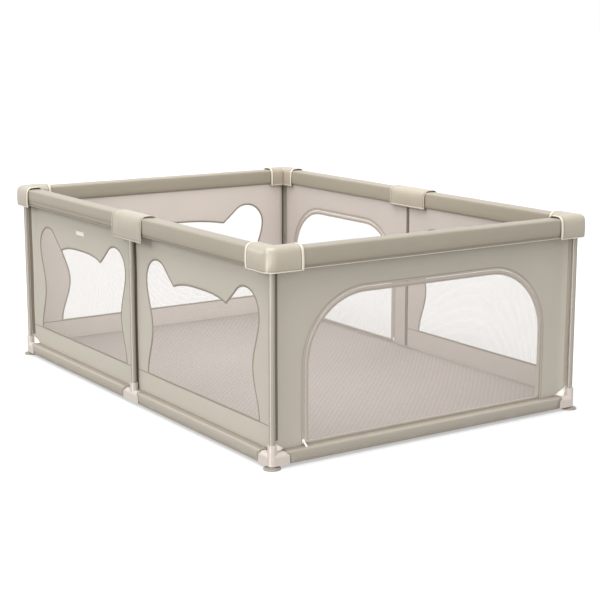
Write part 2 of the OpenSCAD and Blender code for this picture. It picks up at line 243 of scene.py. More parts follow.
M = {
    "tube": material(
        "painted_tube", rgb(144, 136, 123), 0.30, coat=0.7, coat_rough=0.12, vary=0.03,
        grain=900, grain_depth=0.0001,
    ),
    "moulding": material(
        "moulded_plastic", rgb(182, 172, 163), 0.30, coat=0.5, coat_rough=0.12, vary=0.02,
        grain=1500, grain_depth=0.00008,
    ),
    "cup": material(
        "rubber_cup", rgb(132, 125, 116), 0.5, vary=0.03, grain=700, grain_depth=0.0001
    ),
    "cover": material(
        "padded_cover", rgb(142, 134, 119), 0.40, coat=0.25, coat_rough=0.25, vary=0.035,
        warm=0.01, grain=650,
    ),
    "cap": material(
        "cap_cover", rgb(157, 148, 132), 0.34, spec=0.6, coat=0.7, coat_rough=0.20,
        vary=0.04, warm=0.01, grain=650,
    ),
    "wall": material(
        "wall_cloth", rgb(166, 160, 148), 0.72, spec=0.3, sheen=0.15, vary=0.03,
        vary_scale=4, warm=0.03, weave=0.0016,
    ),
    # painted shade: the wall cloth made darker, so the sleeve's rounded top, which faces up into
    # more light, reads as dark as the wall
    "sleeve": material(
        "sleeve_cloth_shaded", rgb(152, 145, 133), 0.72, spec=0.3, sheen=0.1, vary=0.03,
        vary_scale=4, warm=0.02, weave=0.0016,
    ),
    "binding": material("edge_binding", rgb(134, 126, 112), 0.7, spec=0.3, weave=0.0012),
    # painted shade: dark strips for the shaded slit beside a middle post and for the shade just
    # inside a cap's piping
    "seam": material("painted_shade_line", rgb(92, 83, 71), 0.8, spec=0.2, weave=0.0012),
    "piping": material("light_piping", rgb(205, 197, 182), 0.42, vary=0.04, weave=0.0014),
    "cap_hem": material("cap_hem", rgb(172, 163, 148), 0.45, vary=0.04, weave=0.0014),
    "hem": material("hem_band", rgb(146, 138, 126), 0.7, spec=0.3, weave=0.0012),
    "border": material(
        "door_border", rgb(170, 160, 150), 0.7, spec=0.3, sheen=0.1, vary=0.03, weave=0.0014
    ),
    "net": material("fine_net", rgb(186, 180, 174), 0.6, spec=0.3, vary=0.03, net=0.0056),
    "zip": material(
        "zip_white", rgb(236, 232, 224), 0.3, coat=0.4, coat_rough=0.1, vary=0.02,
        grain=900, grain_depth=0.00005,
    ),
    "teeth": material("zip_teeth", rgb(164, 154, 143), 0.5, vary=0.04, weave=0.002),
    "floor": material(
        "floor_cloth", rgb(145, 136, 130), 0.75, spec=0.25, sheen=0.1, vary=0.04, warm=0.02,
        weave=0.0018, twill=0.022,
    ),
    "lining": material(
        "wall_lining", rgb(197, 188, 180), 0.75, spec=0.25, sheen=0.1, vary=0.03, weave=0.0016
    ),
    # painted shade: a darker copy of the lining, for the inner faces of the front and back walls
    "shaded_lining": material(
        "shaded_lining", rgb(178, 169, 162), 0.75, spec=0.25, sheen=0.1, vary=0.03, weave=0.0016
    ),
    # painted highlight: a near-white patch behind each cut-away wall corner
    "bright_patch": material(
        "painted_highlight_patch", rgb(252, 248, 240), 0.7, spec=0.3, sheen=0.1, vary=0.02, weave=0.0014
    ),
    # painted shade: a dark band down a wall's left end, beside the corner post
    "shade": material("post_hem", rgb(104, 95, 84), 0.8, spec=0.2, weave=0.0012),
    "label": material("woven_label", rgb(212, 206, 194), 0.6, vary=0.04, weave=0.0011),
}


# ---------- meshes ----------

RING_STEP, HOLE_STEP = 0.016, 0.012  # the longest piece of an outline and of a hole's edge
EDGE_CLEAR = 0.0035  # points inside a sheet stay this far from its outlines


def half_length(n):
    return HALF_X if n % 2 == 0 else HALF_Y


def side(n):
    """From a side's own frame (x right as seen from outside, y into the pen) to the pen's."""
    turn = Matrix.Rotation(math.pi / 2 * n, 4, "Z")
    return turn @ Matrix.Translation((0, -half_length(n + 1), 0))


def corner(n):
    """The same frame, moved to the corner at the right end of side n."""
    return side(n) @ Matrix.Translation((half_length(n), 0, 0))


def piece(name, verts, faces, mat, place=None, uvs=None, body="pen", smooth=True):
    mesh = bpy.data.meshes.new(name)
    mesh.from_pydata([tuple(map(float, v)) for v in verts], [], faces)
    if uvs is not None:
        layer = mesh.uv_layers.new(name="flat")
        uvs = np.asarray(uvs, float)
        loops = np.empty(len(mesh.loops), int)
        mesh.loops.foreach_get("vertex_index", loops)
        layer.data.foreach_set("uv", uvs[loops].ravel())
    if smooth:
        mesh.shade_smooth()
    if place is not None:
        mesh.transform(place)
    mesh.materials.append(mat)
    obj = bpy.data.objects.new(name, mesh)
    scene.collection.objects.link(obj)
    if body:
        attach(obj, body)
    return obj


def grid(points, close_u=False, close_v=False, cap=False):
    """Quads over a block of points, rows along u and columns along v, with flat distances as UV."""
    P = np.asarray(points, float)
    m, n = P.shape[:2]
    faces = []
    for i in range(m if close_u else m - 1):
        for j in range(n if close_v else n - 1):
            a, b = i * n + j, i * n + (j + 1) % n
            c, d = ((i + 1) % m) * n + (j + 1) % n, ((i + 1) % m) * n + j
            faces.append((a, b, c, d))
    if cap:
        faces.append(tuple(range(n)))
        faces.append(tuple((m - 1) * n + j for j in reversed(range(n))))
    along = np.linalg.norm(np.diff(P.mean(1), axis=0), axis=1)
    across = np.linalg.norm(np.diff(P, axis=1), axis=2).mean(0)
    u = np.concatenate([[0], np.cumsum(along)])
    v = np.concatenate([[0], np.cumsum(across)])
    uvs = np.stack(np.meshgrid(u, v, indexing="ij"), -1).reshape(-1, 2)
    return P.reshape(-1, 3), faces, uvs


def solid(obj, thickness, offset=0.0):
    s = obj.modifiers.new("thickness", "SOLIDIFY")
    s.thickness = thickness
    s.offset = offset
    return obj


def smoothstep(a, b, x):
    t = min(1, max(0, (x - a) / (b - a)))
    return t * t * (3 - 2 * t)


def inside(poly, pts):
    """Which points lie in a polygon, by crossings."""
    poly, pts = np.asarray(poly), np.asarray(pts)
    x, y = pts[:, 0], pts[:, 1]
    hit = np.zeros(len(pts), bool)
    for (x1, y1), (x2, y2) in zip(poly, np.roll(poly, -1, axis=0)):
        if y1 == y2:
            continue
        cross = (y1 > y) != (y2 > y)
        hit ^= cross & (x < (x2 - x1) * (y - y1) / (y2 - y1) + x1)
    return hit


def within(rings, pts):
    """Which points lie inside the first ring and outside the others."""
    keep = inside(rings[0], pts)
    for hole in rings[1:]:
        keep &= ~inside(hole, pts)
    return keep


def dense(poly, step):
    """The same closed outline with no side longer than step."""
    out = []
    p = np.asarray(poly, float)
    for a, b in zip(p, np.roll(p, -1, axis=0)):
        k = max(1, math.ceil(float(np.linalg.norm(b - a)) / step))
        out += [tuple(a + (b - a) * i / k) for i in range(k)]
    return out


def filled(outer, holes, step, extra_x):
    """Triangles over an outline with holes, with points every step and at the extra x."""
    rings = [dense(outer, RING_STEP)] + [dense(h, HOLE_STEP) for h in holes]
    pts, edges = [], []
    for ring in rings:
        start, count = len(pts), len(ring)
        pts += ring
        edges += [(start + i, start + (i + 1) % count) for i in range(count)]
    lo, hi = np.min(outer, axis=0), np.max(outer, axis=0)
    xs = list(np.arange(lo[0] + step, hi[0] - step / 2, step)) + list(extra_x)
    zs = np.arange(lo[1] + step, hi[1] - step / 2, step)
    cells = np.array([(x, z) for x in xs for z in zs])
    cells = cells[within(rings, cells)]
    border = np.array(pts)
    gap = np.min(np.linalg.norm(cells[:, None, :] - border[None, :, :], axis=2), axis=1)
    pts += [tuple(c) for c in cells[gap > EDGE_CLEAR]]
    verts, _, faces, *_ = delaunay_2d_cdt([Vector(p) for p in pts], edges, [], 0, 1e-7)
    verts = np.array([tuple(v) for v in verts])
    mids = np.array([verts[list(f)].mean(0) for f in faces])
    return verts, [tuple(f) for f, ok in zip(faces, within(rings, mids)) if ok]


# ---------- walls ----------

CORD_SIDES = 8
HEM_COLUMNS = [0.006, 0.012, 0.018, 0.024, 0.030]  # extra points where a wall draws out to a post
ZIP_X = {1: -END_DOOR[0], 2: PANEL_MID - BACK_DOOR[0]}  # the slider's straight stretch, by side


def arc(cx, cz, r, a0, a1, steps):
    angles = [math.radians(a0 + (a1 - a0) * i / steps) for i in range(steps + 1)]
    return [(cx + r * math.cos(a), cz + r * math.sin(a)) for a in angles]


def window_outline(half, mid):
    """Straight bottom, waisted sides and two rounded ears, with a dip between ear and brow."""
    ear_x, ear_z, dip_x = half - EAR_R, EAR_TOP_Z - EAR_R, half - 0.192
    brow, dip, waist = EAR_TOP_Z - 0.051, EAR_TOP_Z - 0.070, 0.037
    right = [(dip_x * i / 8, brow - (brow - dip) * (i / 8) ** 3) for i in range(9)]
    right += arc(ear_x, ear_z, EAR_R, 140, 0, 24)
    tall = ear_z - WINDOW_Z
    right += [
        (half - waist * math.sin(math.pi * (1 - i / 20)) ** 2, ear_z - tall * i / 20)
        for i in range(1, 21)
    ]
    left = [(-x, z) for x, z in reversed(right)]
    return [(x + mid, z) for x, z in right + left[:-1]]


def arch_outline(half, r, top, z0, mid):
    right = arc(half - r, top - r, r, 0, 90, 26)
    left = arc(r - half, top - r, r, 90, 180, 26)
    return [(x + mid, z) for x, z in [(half, z0)] + right + left + [(-half, z0)]]


def wall_y(n, x, z):
    """How deep the cloth of side n lies: faintly rippled, and drawn out to the corner posts."""
    calm = smoothstep(SEAM_Z, 0.17, z) * smoothstep(RAIL_Z0, 0.50, z)
    if n in ZIP_X:
        calm *= 1 - 0.9 * math.exp(-(((x - ZIP_X[n]) / 0.06) ** 2))
    slow = noise.noise(Vector((x * 5.1 + 3 * n, z * 3.3, 0.7 * n)))
    fine = noise.noise(Vector((x * 14.0, z * 5.0 + 2 * n, 4.1)))
    y = WALL + (0.0022 * slow + 0.0006 * fine) * calm
    near = max(0.0, 1 - (half_length(n) - TUBE_R - abs(x)) / 0.036)
    return y - (WALL - 0.0015) * near**1.7


def wall_sheet(name, n, outer, holes, mat, step, extra_x=(), thick=0.0, body="pen"):
    v, f = filled(outer, holes, step, extra_x)
    obj = piece(name, [(x, wall_y(n, x, z), z) for x, z in v], f, mat, side(n), v, body)
    if thick:
        solid(obj, thick)
    return obj


def line_inside(obj, n):
    """Gives a wall the paler cloth on its inner face: the lining for the end walls, and for the
    front and back walls a darker copy of it, which is painted shade.
    """
    obj.data.materials.append(M["lining" if n % 2 else "shaded_lining"])
    obj.modifiers["thickness"].material_offset = 1
    flat = obj.modifiers.new("normals", "WEIGHTED_NORMAL")
    flat.weight = 100


def ribbon(name, n, line, width, height, mat, closed=True, body="pen", shift=0.0):
    """A flattened cord that follows a line on wall n."""
    p = np.asarray(line, float)
    if closed:
        ahead, back = np.roll(p, -1, axis=0), np.roll(p, 1, axis=0)
    else:
        ahead, back = np.vstack([p[1:], p[-1:]]), np.vstack([p[:1], p[:-1]])
    t = ahead - back
    t /= np.linalg.norm(t, axis=1)[:, None]
    normal = np.stack([t[:, 1], -t[:, 0]], 1)
    rings = []
    for (x, z), (nx, nz) in zip(p, normal):
        ring = []
        for k in range(CORD_SIDES):
            a = 2 * math.pi * k / CORD_SIDES
            w, h = math.cos(a) * width / 2 + shift, math.sin(a) * height / 2
            px, pz = x + nx * w, z + nz * w
            ring.append((px, wall_y(n, px, pz) + h, pz))
        rings.append(ring)
    v, f, uv = grid(rings, close_u=closed, close_v=True, cap=not closed)
    return piece(name, v, f, mat, side(n), uv, body)


def fine_patch(corners, steps):
    """A four-cornered flat patch divided into steps each way: its points and faces."""
    a, b, c, d = (np.array(q, float) for q in corners)
    row = steps + 1
    pts = []
    for i in range(row):
        u = i / steps
        for j in range(row):
            w = j / steps
            pts.append(tuple((a * (1 - u) + b * u) * (1 - w) + (d * (1 - u) + c * u) * w))
    faces = [
        (i * row + j, (i + 1) * row + j, (i + 1) * row + j + 1, i * row + j + 1)
        for i in range(steps)
        for j in range(steps)
    ]
    return pts, faces


def panel_outer(x0, x1):
    """A wall's outline: its lower corners are cut away over the bases of the corner posts."""
    right = [(x1 - CUT_WIDTH, SEAM_Z), (x1, CUT_Z)] if x1 else [(x1, SEAM_Z)]
    left = [(x0, CUT_Z), (x0 + CUT_WIDTH, SEAM_Z)] if x0 else [(x0, SEAM_Z)]
    return right + [(x1, WALL_TOP_Z), (x0, WALL_TOP_Z)] + left


def upright_hem(name, n, x, inward):
    """The band down a wall's edge at x; inward is the way along x from the post to the wall. At a
    middle post it is a dark strip of painted shade for the slit beside the post. At a wall's left
    end it is painted shade beside the corner post. At a right end it is a narrower hem band.
    """
    if x == 0:
        # at a middle post, dark strips paint the shaded slit beside it
        wide, at, foot, cloth = 0.0086, 0.0045, SEAM_Z + 0.004, "seam"
    else:
        # the left end's dark band is painted shade beside the corner post
        wide, cloth = (0.0160, "shade") if inward > 0 else (0.0115, "hem")
        at, foot = 0.0002 + wide / 2, CUT_Z + 0.003
    line = [(x + inward * at, z) for z in np.linspace(foot, RAIL_Z0 - 0.002, 40)]
    return ribbon(name, n, line, wide, 0.0044, M[cloth], closed=False)


def bright_patch(name, n, x, inward):
    """A near-white patch behind a wall's cut-away lower corner: painted highlight, standing for the
    bright glint seen there beside the base.
    """
    near, far = x + inward * 0.003, x + inward * BRIGHT_PATCH_WIDTH
    top, bottom = CUT_Z + 0.006, SEAM_Z - 0.006
    v, f = fine_patch([(near, top), (near, bottom), (far, bottom), (far, SEAM_Z + 0.004)], 8)
    points = [(a, wall_y(n, a, b) + 0.0042, b) for a, b in v]
    return solid(piece(name, points, f, M["bright_patch"], side(n), v), 0.0012)


PANELS = [
    ("front_left", 0, -END_X, 0.0, "window", -PANEL_MID, WINDOW_HALF),
    ("front_right", 0, 0.0, END_X, "window", PANEL_MID, WINDOW_HALF),
    ("back_right", 2, -END_X, 0.0, "window", -PANEL_MID, WINDOW_HALF),
    ("left_end", 3, -END_Y, END_Y, "window", 0.0, END_WINDOW_HALF),
    ("right_end", 1, -END_Y, END_Y, "door", 0.0, END_DOOR),
    ("back_left", 2, 0.0, END_X, "door", PANEL_MID, BACK_DOOR),
]
for name, n, x0, x1, kind, mid, opening in PANELS:
    outer = panel_outer(x0, x1)
    if kind == "window":
        hole = window_outline(opening, mid)
    else:
        hole = arch_outline(*opening, DOOR_TOP_Z, HINGE_Z - 0.0015, mid)
    extra = [x0 + d for d in HEM_COLUMNS] + [x1 - d for d in HEM_COLUMNS]
    wall = wall_sheet(name + "_wall", n, outer, [hole], M["wall"], 0.024, extra, WALL_THICK)
    line_inside(wall, n)
    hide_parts(name + "_panel")
    edge = dense(hole, 0.010)
    if kind == "window":
        trims = [ribbon(name + "_edge", n, edge, 0.0074, 0.0040, M["binding"], shift=0.001)]
    else:
        trims = [ribbon(name + "_edge", n, edge, 0.0040, 0.0030, M["hem"])]
    for x, inward, end in ((x0, 1, "_left"), (x1, -1, "_right")):
        trims.append(upright_hem(name + end + "_hem", n, x, inward))
        if x != 0:
            # the near-white patch is painted highlight
            trims.append(bright_patch(name + end + "_gusset", n, x, inward))
    if kind == "window":
        pane = window_outline(opening + 0.002, mid)
        net = wall_sheet(name + "_net", n, pane, [], M["net"], 0.030)
        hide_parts(name + "_window")
        line = [(x, WINDOW_Z) for x in np.linspace(x0 + 0.004, x1 - 0.004, 90)]
        seam = ribbon(name + "_seam", n, line, 0.0045, 0.0030, M["binding"], closed=False)
        trims.append(seam)


# ---------- doors ----------

DOOR_LIP = 0.009  # from the opening's edge in to the door's own edge
BORDER_W = 0.013


def teeth(name, n, line, shift, body):
    """A zip's row of teeth: a thin coil that swells and narrows from point to point."""
    p = np.asarray(line, float)
    t = np.vstack([p[1:], p[-1:]]) - np.vstack([p[:1], p[:-1]])
    t /= np.linalg.norm(t, axis=1)[:, None]
    rings = []
    for i, ((x, z), (tx, tz)) in enumerate(zip(p, t)):
        r = 0.0011 if i % 2 else 0.0006
        ring = []
        for k in range(5):
            a = 2 * math.pi * k / 5
            w = math.cos(a) * r + shift
            px, pz = x + tz * w, z - tx * w
            ring.append((px, wall_y(n, px, pz) + math.sin(a) * r, pz))
        rings.append(ring)
    v, f, uv = grid(rings, close_v=True, cap=True)
    return piece(name, v, f, M["teeth"], side(n), uv, body)


def above(outline, z):
    """The part of a closed outline above z, as one line from end to end."""
    pts = np.array(dense(outline, 0.0015))
    pts = pts[pts[:, 1] > z]
    jump = np.linalg.norm(np.diff(pts, axis=0), axis=1) > 0.05
    start = int(np.argmax(jump)) + 1
    return np.roll(pts, -start if start > 1 else 0, axis=0)


def door(name, n, mid, half, r, body, panel):
    def arch(inset, z0):
        return arch_outline(half - inset, r - inset, DOOR_TOP_Z - inset, z0, mid)

    outer = arch(DOOR_LIP, HINGE_Z + 0.001)
    inner = arch_outline(
        half - DOOR_LIP - BORDER_W,
        r - DOOR_LIP - BORDER_W,
        DOOR_TOP_Z - DOOR_LIP - BORDER_W,
        HINGE_Z + 0.008,
        mid,
    )
    pane = arch_outline(
        half - DOOR_LIP - 0.011,
        r - DOOR_LIP - 0.011,
        DOOR_TOP_Z - DOOR_LIP - 0.011,
        HINGE_Z + 0.006,
        mid,
    )
    fixed, loose = arch(0.0035, HINGE_Z), arch(0.0078, HINGE_Z + 0.004)
    border = wall_sheet(
        name + "_border", n, outer, [inner], M["border"], 0.03, thick=0.0022, body=None
    )
    net = wall_sheet(name + "_net", n, pane, [], M["net"], 0.026, body=None)
    hem = ribbon(name + "_hem", n, dense(inner, 0.012), 0.003, 0.0036, M["border"], body=None)
    tape_line = dense(fixed, 0.010)[:-1]
    tape = ribbon(name + "_tape", n, tape_line, 0.0060, 0.0016, M["border"], closed=False)
    wall_row = teeth(name + "_wall_teeth", n, above(fixed, HINGE_Z + 0.004), -0.0022, "pen")
    door_row = teeth(name + "_door_teeth", n, above(loose, TEETH_Z), 0.0011, None)
    for o in (border, net, hem, door_row):
        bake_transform(o)
    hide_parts(body + "_border")
    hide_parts(body + "_mesh")
    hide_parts(name + "_zip_tape")


door("right", 1, 0.0, *END_DOOR, "right_door", "right_end_wall")
door("back", 2, PANEL_MID, *BACK_DOOR, "back_door", "back_left_wall")


# ---------- bottom sleeves ----------

# the darker cloth on the sleeve's upward-facing shelf beside the seam is painted shade
SHADED_SHELF_FACES = 4  # rows of faces beside the seam that have the hem's cloth
LOWER_BAND = [  # (y, z) down the sleeve's outer foot
    (-0.0139, 0.0225), (-0.0134, 0.0205), (-0.0127, 0.0155),
    (-0.0123, 0.0112), (-0.0108, 0.0104), (-0.0085, 0.0108),
]


def sleeve_section(x, n):
    """(y, z) from the wall's seam over the tube, down outside to the hem, and back up inside."""
    puff = 0.0006 * noise.noise(Vector((x * 9.0, 2.0 * n, 1.0)))
    over = [(0.0150, 0.001), (0.0100, 0.0012), (0.0040, 0.0014), (-0.0030, 0.0014),
            (-0.0078, 0.0012)]
    pts = [(y, SEAM_Z + rise) for y, rise in over]
    for deg in range(15, 91, 15):
        a = math.radians(deg)
        pts.append((-0.0083 - 0.0058 * math.sin(a), SEAM_Z - 0.0048 + 0.0058 * math.cos(a)))
    pts += [(y - puff, z) for y, z in ((-0.0143, 0.038), (-0.0143, 0.033), (-0.0140, 0.028))]
    pts += [(-0.0132, 0.024), (-0.0122, 0.018), (-0.0114, 0.012)]
    pts += [(-0.0100, 0.0113), (-0.0088, 0.012), (-0.0080, 0.018), (-0.0040, 0.0196)]
    pts += [(0.0020, 0.0197), (0.0080, 0.0216), (0.0125, 0.026), (0.0146, 0.034)]
    pts += [(0.0156, 0.041), (0.0162, SEAM_Z)]
    return pts


for name, n, x0, x1 in RUNS:
    xs = np.linspace(x0 + SLEEVE_GAP, x1 - SLEEVE_GAP, 60)
    rows = []
    for x in xs:
        ripple = 0.0005 * noise.noise(Vector((x * 17.0, 5.0, n)))
        to_ends = smoothstep(0.06, 0.0, x - xs[0]) - smoothstep(0.06, 0.0, xs[-1] - x)
        rows.append(
            [
                (x - 0.012 * smoothstep(0.030, SEAM_Z, z) * to_ends, y + ripple, z)
                for y, z in sleeve_section(x, n)
            ]
        )
    v, f, uv = grid(rows)
    sleeve = piece(name + "_hem_sleeve", v, f, M["sleeve"], side(n), uv)
    sleeve.data.materials.append(M["hem"])
    across = len(rows[0]) - 1
    for q in sleeve.data.polygons:
        # the upward-facing shelf beside the seam gets the darker cloth: painted shade
        q.material_index = 1 if q.index % across < SHADED_SHELF_FACES else 0
    solid(sleeve, 0.0012, 1.0)
    v, f, uv = grid([[(x, y, z) for y, z in LOWER_BAND] for x in xs])
    band = solid(piece(name + "_hem_band", v, f, M["hem"], side(n), uv), 0.001)
    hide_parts(name + "_sleeve")
    around = np.linalg.norm(np.diff(np.array(sleeve_section(0.0, n)), axis=0), axis=1).sum()


# ---------- padded rails ----------

FLAT_FRACTIONS = (0.6, 0.2, -0.2, -0.6)  # points on a rail's flat faces, from the middle out


def rail_section(x, dist, strip):
    """Rounded padding around the tube.

    dist is the way to the nearest cap; strip is 1 for the rail that is stepped in at its fold.
    """
    w, h = RAIL_W / 2, (RAIL_Z1 - RAIL_Z0) / 2
    zc = (RAIL_Z0 + RAIL_Z1) / 2
    pucker = 0.0003 * math.exp(-dist / 0.05) * math.sin(2 * math.pi * dist / 0.022)
    soft = 0.0007 * noise.noise(Vector((x * 8.0, 1.0, strip)))
    pts = []
    for sx, sz, r, a0 in (
        (1, 1, RAIL_TOP_R, 90),
        (1, -1, RAIL_EDGE_R, 0),
        (-1, -1, RAIL_EDGE_R, -90),
        (-1, 1, RAIL_TOP_R, -180),
    ):
        cx, cz = sx * (w - r), sz * (h - r)
        for i in range(9):
            a = math.radians(a0 - 90 * i / 8)
            pts.append((cx + r * math.cos(a), cz + r * math.sin(a)))
        if sx > 0 and sz > 0:
            pts += [(w + 0.0008, k * (h - r)) for k in FLAT_FRACTIONS]
        elif sx > 0:
            pts += [(k * (w - r), -h) for k in FLAT_FRACTIONS]
        elif sz < 0:
            pts += [(-w - 0.0008, k * (h - r)) for k in reversed(FLAT_FRACTIONS)]
        else:
            pts += [(k * (w - r), h + 0.0012 * (1 - k * k)) for k in reversed(FLAT_FRACTIONS)]
    out = []
    k = 1 + (soft + pucker) / 0.027
    for y, z in pts:
        y, z = y * k, z * k if z > 0 else z
        if strip and y < -0.012 and z < -0.008:
            y += 0.0016 * smoothstep(-0.008, -0.0095, z)
        out.append((x, y, zc + z))
    return out


def line_along(name, n, xs, y, z, ry, rz, mat):
    """A straight piping or seam along a side's rail."""
    angles = [2 * math.pi * k / CORD_SIDES for k in range(CORD_SIDES)]
    rings = [[(x, y + ry * math.cos(a), z + rz * math.sin(a)) for a in angles] for x in xs]
    v, f, uv = grid(rings, close_v=True, cap=True)
    piece(name, v, f, mat, side(n), uv)


for name, n, x0, x1 in RUNS:
    strip = int(name == "front_left")
    shift = SADDLE_SHIFT.get(n, 0.0)
    left = x0 + (SADDLE_HALF + shift if x0 == 0 else CAP_ARM)
    right = x1 - (SADDLE_HALF - shift if x1 == 0 else CAP_ARM)
    near_cap = np.arange(0, 0.08, 0.004)
    xs = set(np.linspace(x0 + RAIL_START, x1 - RAIL_START, 46))
    xs = sorted(xs | {left + d for d in near_cap} | {right - d for d in near_cap})
    rows = [rail_section(x, max(0.0, min(x - left, right - x)), strip) for x in xs]
    v, f, uv = grid(rows, close_v=True, cap=True)
    rail = piece(name + "_rail", v, f, M["cover"], side(n), uv)
    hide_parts(name + "_pad")
    span = np.linspace(left - 0.01, right + 0.01, 40)
    rail_name = name + "_rail_"
    line_along(
        rail_name + "seam", n, span, -0.0215, RAIL_Z0 + 0.0012, 0.0040, 0.0028, M["binding"]
    )
    if n % 2:
        line_along(
            rail_name + "piping", n, span, -0.0190, RAIL_Z0 - 0.0030, 0.0024, 0.0024, M["piping"]
        )
    if strip:
        line_along(rail_name + "fold", n, span, -0.0268, 0.6166, 0.0009, 0.0011, M["binding"])


# ---------- caps ----------

CROWN = 0.0015  # how far a cap's top bulges
TOP_STEPS = [0.0, 0.0006, 0.0024, 0.0054, 0.0092, 0.0134, 0.0180, 0.0230]  # in from an edge
SKIRT_STEPS = (0.1, 0.2, 0.3, 0.4, 0.5, 0.6, 0.7, 0.8, 0.87, 0.90, 0.93, 0.955, 1.0)
SWELL_LIMIT = 0.0035
CORNER_Z = (0.588, 0.660)
SADDLE_Z = (0.572, 0.659)
SADDLE_INNER_Z = 0.591


def corner_path():
    """Outer and inner points of the stations along a corner cap, from arm to arm."""
    arm = [
        -CAP_ARM, -0.089, -0.086, -0.0832, -0.0826, -0.0812, -0.079, -0.074, -0.066, -0.058,
        -0.050, -0.042, -0.036, -0.030,
    ]
    out = [((x, -CAP_W), (x, CAP_W)) for x in arm]
    out += [((x, -CAP_W), (-CAP_W, CAP_W)) for x in (-0.024, -0.018, -0.012, -0.006)]
    back = [((-o[1], -o[0]), (-i[1], -i[0])) for o, i in reversed(out[:-1])]
    for k in range(17):
        a = math.radians(-90 + 90 * k / 16)
        out.append(((CAP_W * math.cos(a), CAP_W * math.sin(a)), (-CAP_W, CAP_W)))
    return out + back


def corner_depth(x, y):
    """Plan distance from a point inside a corner cap to its outline."""
    outer = CAP_W - math.hypot(x, y) if x > 0 and y < 0 else min(CAP_W + y, CAP_W - x)
    if x < -CAP_W:
        inner = CAP_W - y
    elif y > CAP_W:
        inner = x + CAP_W
    else:
        inner = math.hypot(x + CAP_W, y - CAP_W)
    return max(0.0, min(outer, inner))


def saddle_depth(x, y):
    return CAP_W - abs(y)


def top_height(d, z1):
    d = min(d, CAP_R)
    return z1 - CAP_R + math.sqrt(max(0.0, CAP_R**2 - (CAP_R - d) ** 2))


def cap_grid(stations, depth, z0, z1, z_in, seed):
    """Points of a cap: up its inner wall, over the top and down its outer wall, by station."""
    low = z1 - CAP_R
    rows = []
    for o, i in stations:
        o, i = np.array(o), np.array(i)
        reach = float(np.linalg.norm(o - i))
        across = (o - i) / reach
        row = []
        for k in range(8):
            t = k / 8
            bulge = 0.0012 * math.sin(math.pi * t)
            row.append((*(i - across * bulge), z_in + (low - z_in) * t))
        for q in TOP_STEPS + [reach - q for q in reversed(TOP_STEPS)]:
            p = i + across * q
            t = q / reach
            z = top_height(depth(p[0], p[1]), z1)
            row.append((p[0], p[1], z + CROWN * 4 * t * (1 - t)))
        for t in SKIRT_STEPS:
            bulge = 0.0018 * math.sin(math.pi * t)
            row.append((*(o + across * bulge), low - (low - z0) * t))
        rows.append(row)
    P = np.array(rows)
    N = grid_normals(P)
    for a in range(P.shape[0]):
        for b in range(P.shape[1]):
            x, y, z = P[a, b]
            slow = noise.noise(Vector((x * 26 + seed, y * 26, z * 16)))
            fine = noise.noise(Vector((x * 60, y * 60 + seed, z * 25)))
            P[a, b] += N[a, b] * (0.0011 * slow + 0.0004 * fine)
    return P, grid_normals(P)


def grid_normals(P):
    """Outward normals of a block of points."""
    normals = np.cross(np.gradient(P, axis=0), np.gradient(P, axis=1))
    normals /= np.maximum(np.linalg.norm(normals, axis=2), 1e-12)[..., None]
    centre = P.reshape(-1, 3).mean(0)
    if float((normals * (P - centre)).sum()) < 0:
        normals = -normals
    return normals


def strip_piece(name, P, N, lift, mat, place, thick=0.0014):
    """A strip of tape or piping laid over a part of a cap's points."""
    v, f, uv = grid(P + N * lift)
    solid(piece(name, v, f, mat, place, uv), thick)


def swell(obj, held, limit):
    """Puffs a cover up with a cloth simulation and applies the result.

    No point moves further than the limit. The simulation runs on a copy in which the points
    that lie in one place are joined: without that the corner caps don't move.
    """
    mesh = obj.data
    start = np.empty(len(mesh.vertices) * 3)
    mesh.vertices.foreach_get("co", start)
    start = start.reshape(-1, 3)
    _, first, copies = np.unique(
        np.round(start, 5), axis=0, return_index=True, return_inverse=True
    )
    copies = copies.ravel()
    rings = [list(dict.fromkeys(int(copies[i]) for i in q.vertices)) for q in mesh.polygons]
    trial = bpy.data.meshes.new("trial")
    joined = [tuple(map(float, start[i])) for i in first]
    trial.from_pydata(joined, [], [r for r in rings if len(r) > 2])
    copy = bpy.data.objects.new("trial", trial)
    scene.collection.objects.link(copy)
    pinned = np.zeros(len(first))
    np.maximum.at(pinned, copies, held)
    group = copy.vertex_groups.new(name="held")
    for i, w in enumerate(pinned):
        group.add([i], float(w), "REPLACE")
    middle = start[first].mean(0)
    facing = sum(
        float(np.dot(np.array(q.normal), np.array(q.center) - middle)) * q.area
        for q in trial.polygons
    )
    cloth = copy.modifiers.new("swell", "CLOTH").settings
    cloth.quality = 6
    cloth.mass = 0.2
    cloth.tension_stiffness = 15
    cloth.compression_stiffness = 15
    cloth.shear_stiffness = 6
    cloth.bending_stiffness = 0.6
    cloth.vertex_group_mass = "held"
    cloth.use_pressure = True
    cloth.uniform_pressure_force = 4 if facing > 0 else -4
    cloth.effector_weights.gravity = 0
    for step in range(1, 21):
        scene.frame_set(step)
    shaped = copy.evaluated_get(bpy.context.evaluated_depsgraph_get()).to_mesh()
    now = np.empty(len(first) * 3)
    shaped.vertices.foreach_get("co", now)
    scene.frame_set(1)
    bpy.data.objects.remove(copy)
    bpy.data.meshes.remove(trial)
    move = (now.reshape(-1, 3) - start[first])[copies]
    far = np.maximum(np.linalg.norm(move, axis=1), 1e-9)[:, None]
    move *= limit * np.tanh(far / limit) / far
    mesh.vertices.foreach_set("co", (start + move).ravel())
    mesh.update()
    return float(np.linalg.norm(move, axis=1).max())


